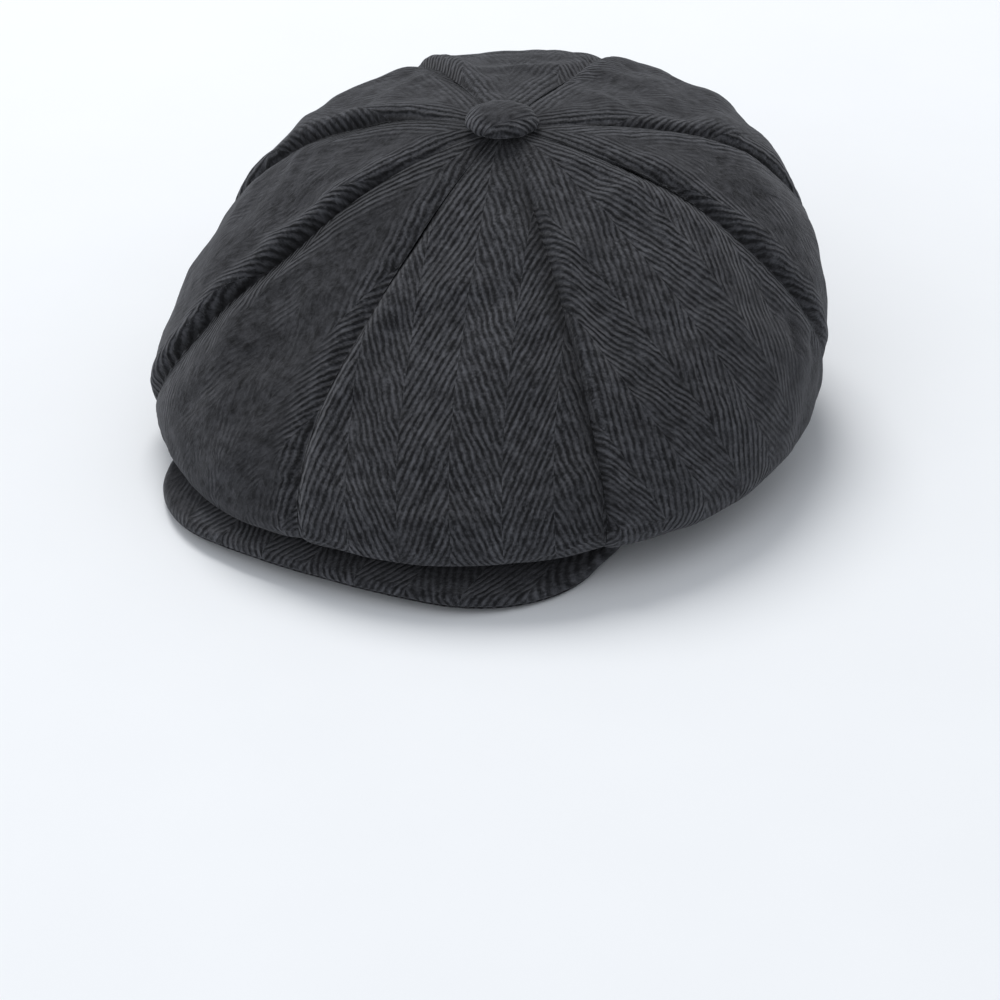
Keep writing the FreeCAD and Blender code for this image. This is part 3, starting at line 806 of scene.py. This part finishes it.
def forehead_edge(x, y):
    """Height of the outer band's lower edge, which arches over the forehead above the visor."""
    radius = (FOREHEAD_HALF_WIDTH ** 2 + FOREHEAD_RISE ** 2) / (2 * FOREHEAD_RISE)
    arch = FOREHEAD_RISE - radius + np.sqrt(np.maximum(radius ** 2 - x ** 2, 0))
    return np.where(y < 0, np.maximum(arch, 0), 0)


def ring_sheet(name, radius, thickness, low, high, rows, ripple, arch=False, span=None):
    """A band round the head with rounded edges and slightly uneven cloth."""
    turn = np.linspace(0, 2 * np.pi, BAND_COLUMNS, endpoint=False)
    if span is not None:
        turn = np.linspace(math.pi - span / 2, math.pi + span / 2, ELASTIC_COLUMNS)
    angle, up = np.meshgrid(turn, np.linspace(0, 1, rows), indexing="ij")
    x, y = radius * np.sin(angle), -radius * np.cos(angle)
    bottom = low + (forehead_edge(x, y) if arch else 0)
    z = bottom + (high - bottom) * up
    points = np.stack([x, y, z], -1)
    slim = thickness / 2 * np.sin(np.pi * np.clip(up, 0.0, 1.0)) ** 0.25
    slim = np.maximum(slim, thickness * 0.15)
    wave = ripple * ripples(points, 34 * MM, 90) * np.sin(np.pi * up)
    radial = np.stack([np.sin(angle), -np.cos(angle), 0 * angle], -1)
    middle = points + radial * (thickness / 2 + np.minimum(wave, 0))[..., None]
    outer, inner = middle + radial * slim[..., None], middle - radial * slim[..., None]
    uv = np.stack([radius * angle, z], -1)
    piece = sheet_piece(name, outer, inner, uv, ring=span is None)
    return piece, outer, uv


def make_bands():
    """The outer band of wool, the sweatband inside it and the elastic at the back."""
    outer_radius = BAND_HIGH[0] - 1.6 * MM
    band, points, uv = ring_sheet("outer_band_cloth", outer_radius, 1.6 * MM, BAND_LOW[2], BAND_HIGH[2],
                                  16, 0.15 * MM, arch=True)
    set_attribute(band, "nap", np.full(len(band.data.vertices), 0.2))
    dress(band, WOOL_CLOTH, "wool_tweed", "outer_band")
    sweat, points, uv = ring_sheet("sweatband_tape", HEAD_RADIUS, 1.0 * MM, SWEAT_LOW[2], SWEAT_HIGH[2],
                                   16, 0.12 * MM)
    dress(sweat, TAPE, "cotton_twill", "sweatband")
    span = 2 * math.asin(min(1.0, ELASTIC_HIGH[0] / ELASTIC_HIGH[1]))
    elastic, points, uv = ring_sheet("rear_elastic_tape", ELASTIC_HIGH[1] - 0.6 * MM, 0.6 * MM,
                                     ELASTIC_LOW[2], ELASTIC_HIGH[2], 10, 0.05 * MM, span=span)
    dress(elastic, ELASTIC, "elastic_tape", "rear_elastic")


# -------------------------------------------------------------------- visor

VISOR_FRONT_RADIUS = 200 * MM
VISOR_CORNER_RADIUS = 60 * MM
VISOR_BEND_RADIUS = 500 * MM
VISOR_PITCH = math.radians(2.9)
VISOR_ROOT_RADIUS = BAND_HIGH[0] + 0.4 * MM
VISOR_HALF_TURN = math.radians(68.3)
VISOR_SIDE_TAPER = 3.5 * MM       # the visor is this much narrower at the ends of its sides
VISOR_SIDE_END = -34 * MM
VISOR_COLUMNS = 151
VISOR_ROWS = 40
TOP_THICKNESS = 1.6 * MM
UNDER_THICKNESS = 1.2 * MM
VISOR_DEPTH = 5.0 * MM            # from the under cover's face to the top cover's face
WEAVE_ARCH = 30 * MM              # how far the visor's weave arches at its middle


def visor_reach(angle):
    """Distance from the head's middle to the visor's edge: front arc, corner arcs and sides."""
    reach, half = -VISOR_LOW[1], VISOR_HIGH[0]
    corner_x = half - VISOR_CORNER_RADIUS
    front_y = VISOR_FRONT_RADIUS - reach
    corner_y = front_y - math.sqrt((VISOR_FRONT_RADIUS - VISOR_CORNER_RADIUS) ** 2 - corner_x ** 2)
    meet = math.atan2(corner_y - front_y, corner_x)
    front = np.linspace(-math.pi / 2, meet, 200)
    corner = np.linspace(meet, 0, 200)
    x = np.concatenate([VISOR_FRONT_RADIUS * np.cos(front),
                        corner_x + VISOR_CORNER_RADIUS * np.cos(corner), [half - VISOR_SIDE_TAPER]])
    y = np.concatenate([front_y + VISOR_FRONT_RADIUS * np.sin(front),
                        corner_y + VISOR_CORNER_RADIUS * np.sin(corner), [VISOR_SIDE_END]])
    return np.interp(np.abs(angle), np.arctan2(x, -y), np.hypot(x, y))


def visor_underside(x, y):
    """Height of the visor's lower face, which slopes and bends down at its sides."""
    slope = (VISOR_ROOT_RADIUS + y) * math.tan(VISOR_PITCH)
    return FOREHEAD_RISE + slope - x * x / (2 * VISOR_BEND_RADIUS)


def visor_grid(rows, inset, low, high, edge_round):
    """Points over the visor from root to edge: high above its underside, turned to low at the edge."""
    turn = np.linspace(-VISOR_HALF_TURN, VISOR_HALF_TURN, VISOR_COLUMNS)
    angle, out = np.meshgrid(turn, rows, indexing="ij")
    reach = visor_reach(angle) - inset
    run = np.clip(out, 0, 1)
    radius = VISOR_ROOT_RADIUS + (reach - edge_round - VISOR_ROOT_RADIUS) * run
    bend = np.clip(out - 1, 0, 1) * math.pi / 2
    radius = radius + edge_round * np.sin(bend)
    lift = low + (high - low) * np.cos(bend)
    x, y = radius * np.sin(angle), -radius * np.cos(angle)
    return np.stack([x, y, visor_underside(x, y) + lift], -1), angle, out


def visor_rows(flat, bend):
    """Shares of the way out to the edge, 0 to 1, and then round it, 1 to 2."""
    return np.concatenate([np.linspace(0, 1, flat, endpoint=False), np.linspace(1, 2, bend)])


def make_visor():
    """The visor's two covers, round the CAD board."""
    # The top cover: stretched over the board, round its edge and down to the seam.
    points, angle, out = visor_grid(visor_rows(VISOR_ROWS, 14), 0, UNDER_THICKNESS + 0.3 * MM, VISOR_DEPTH,
                                    3.2 * MM)
    up = normals_of(points)
    up = up * np.sign(up[..., 2:].sum())
    span = np.sin(np.clip(out, 0, 1) * np.pi) * MM
    relief = 0.3 * span * ripples(points, 40 * MM, 120) + 0.08 * MM * ripples(points, 9 * MM, 121)
    edge = np.clip(out - 1, 0, 1)
    relief = relief + 0.35 * MM * np.sin(edge * np.pi) * (1 + 0.25 * ripples(points, 14 * MM, 122))
    outer = points + up * relief[..., None]
    inner = outer - up * TOP_THICKNESS
    uv = np.stack([outer[..., 0], lengths_along(outer, 1) - WEAVE_ARCH * np.cos(angle)], -1)
    top = sheet_piece("visor_top_cloth", outer, inner, uv)
    worn = 0.1 + 0.75 * np.clip((-points[..., 0] - 35 * MM) / (45 * MM), 0, 1)
    set_attribute(top, "nap", np.concatenate([worn.ravel(), worn.ravel()]))
    dress(top, WOOL_CLOTH, "wool_tweed", "visor_top_cover")
    # The under cover lies flat below the board and curls up a little to the seam.
    points, angle, out = visor_grid(visor_rows(VISOR_ROWS, 6), 0.5 * MM, 0.4 * MM, 0.0, 1.2 * MM)
    up = normals_of(points)
    up = up * np.sign(up[..., 2:].sum())
    relief = 0.1 * MM * ripples(points, 30 * MM, 124)
    lower = points + up * np.maximum(relief, 0)[..., None]
    upper = lower + up * UNDER_THICKNESS
    uv = np.stack([lower[..., 0], lengths_along(lower, 1) - WEAVE_ARCH * np.cos(angle)], -1)
    under = sheet_piece("visor_under_cloth", upper, lower, uv)
    set_attribute(under, "nap", np.full(len(under.data.vertices), 0.2))
    dress(under, WOOL_CLOTH, "wool_tweed", "visor_under_cover")


# ------------------------------------------------------------------- button

BUTTON_RINGS = 44
BUTTON_SPOKES = 104
BUTTON_CLOTH = 1.0 * MM
# Half section from the top to the hem under the rim: shares of the radius and of the height.
BUTTON_SECTION = ((0.0, 1.0), (0.25, 0.985), (0.5, 0.93), (0.72, 0.81), (0.89, 0.60), (0.985, 0.36),
                  (0.995, 0.2), (0.93, 0.08), (0.82, 0.03), (0.68, 0.03))
BUTTON_GRAIN = math.radians(27)      # direction of the twill lines across the button


def button_section(share):
    """Smooth curve through the section's points."""
    points = np.array(BUTTON_SECTION)
    knots = np.arange(len(points))
    place = np.clip(share, 0, 1) * (len(points) - 1)
    tangents = np.gradient(points, axis=0)
    low = np.minimum(place.astype(int), len(points) - 2)
    t = (place - knots[low])[..., None]
    a, b, ta, tb = points[low], points[low + 1], tangents[low], tangents[low + 1]
    return ((2 * t ** 3 - 3 * t ** 2 + 1) * a + (t ** 3 - 2 * t ** 2 + t) * ta
            + (3 * t ** 2 - 2 * t ** 3) * b + (t ** 3 - t ** 2) * tb)


def make_button():
    """Cloth drawn over a domed shell: smooth on top, gathered where it turns under the rim."""
    radius = (BUTTON_HIGH[0] - BUTTON_LOW[0]) / 2 + 0.5 * MM
    height = BUTTON_HIGH[2] - BUTTON_LOW[2]
    turn, ring = np.meshgrid(np.linspace(0, 2 * np.pi, BUTTON_SPOKES, endpoint=False),
                             np.linspace(0.004, 1, BUTTON_RINGS), indexing="ij")
    out, up = np.moveaxis(button_section(ring), -1, 0)
    pleat = np.clip((ring - 0.45) / 0.4, 0, 1)
    gather = 1 + 0.022 * pleat * np.sin(13 * turn + 0.7 * np.sin(3 * turn))
    reach = radius * out * gather
    z = BUTTON_LOW[2] + height * up
    outer = np.stack([APEX[0] + reach * np.sin(turn), APEX[1] - reach * np.cos(turn), z], -1)
    outward = normals_of(outer)
    outward = outward * np.sign((outward[..., 2] * (ring < 0.3)).sum())
    inner = outer - outward * BUTTON_CLOTH
    cap = outer + outward * (0.15 * MM * ripples(outer, 7 * MM, 140))[..., None]
    east, north = outer[..., 0] - APEX[0], outer[..., 1] - APEX[1]
    drawn = 1 + 0.35 * ring ** 2     # the cloth stretches over the rim
    grain = BUTTON_GRAIN + TWILL_ANGLE
    along = (east * math.cos(grain) + north * math.sin(grain)) * drawn
    across = (north * math.cos(grain) - east * math.sin(grain)) * drawn
    uv = np.stack([across + CHEVRON_COLUMN / 2, along], -1)
    button = sheet_piece("button_cloth", cap, inner, uv, ring=True)
    nap = 0.9 - 0.9 * np.clip((ring - 0.22) / 0.2, 0, 1)
    set_attribute(button, "nap", np.concatenate([nap.ravel(), nap.ravel()]))
    dress(button, WOOL_CLOTH, "wool_tweed", "button_cover")


# ---------------------------------------------------------------- CAD pieces

def finish_cad_nodes():
    """The stiff pieces inside the cloth keep their CAD shape and get their own materials."""
    for node, material in (("visor_board", VISOR_PLASTIC), ("band_stiffener", BUCKRAM),
                           ("button_shell", BUTTON_METAL), ("button_back", BUTTON_METAL)):
        mesh = frame["nodes"][node].data
        mesh.materials.clear()
        mesh.materials.append(material)


def build():
    """The whole picture, from the camera to the last piece."""
    add_camera()
    add_studio()
    for index, name in enumerate(GORE_NAMES):
        make_gore(name, 45 * index)
        make_lining(name, 45 * index)
    make_bands()
    make_visor()
    make_button()
    finish_cad_nodes()


build()
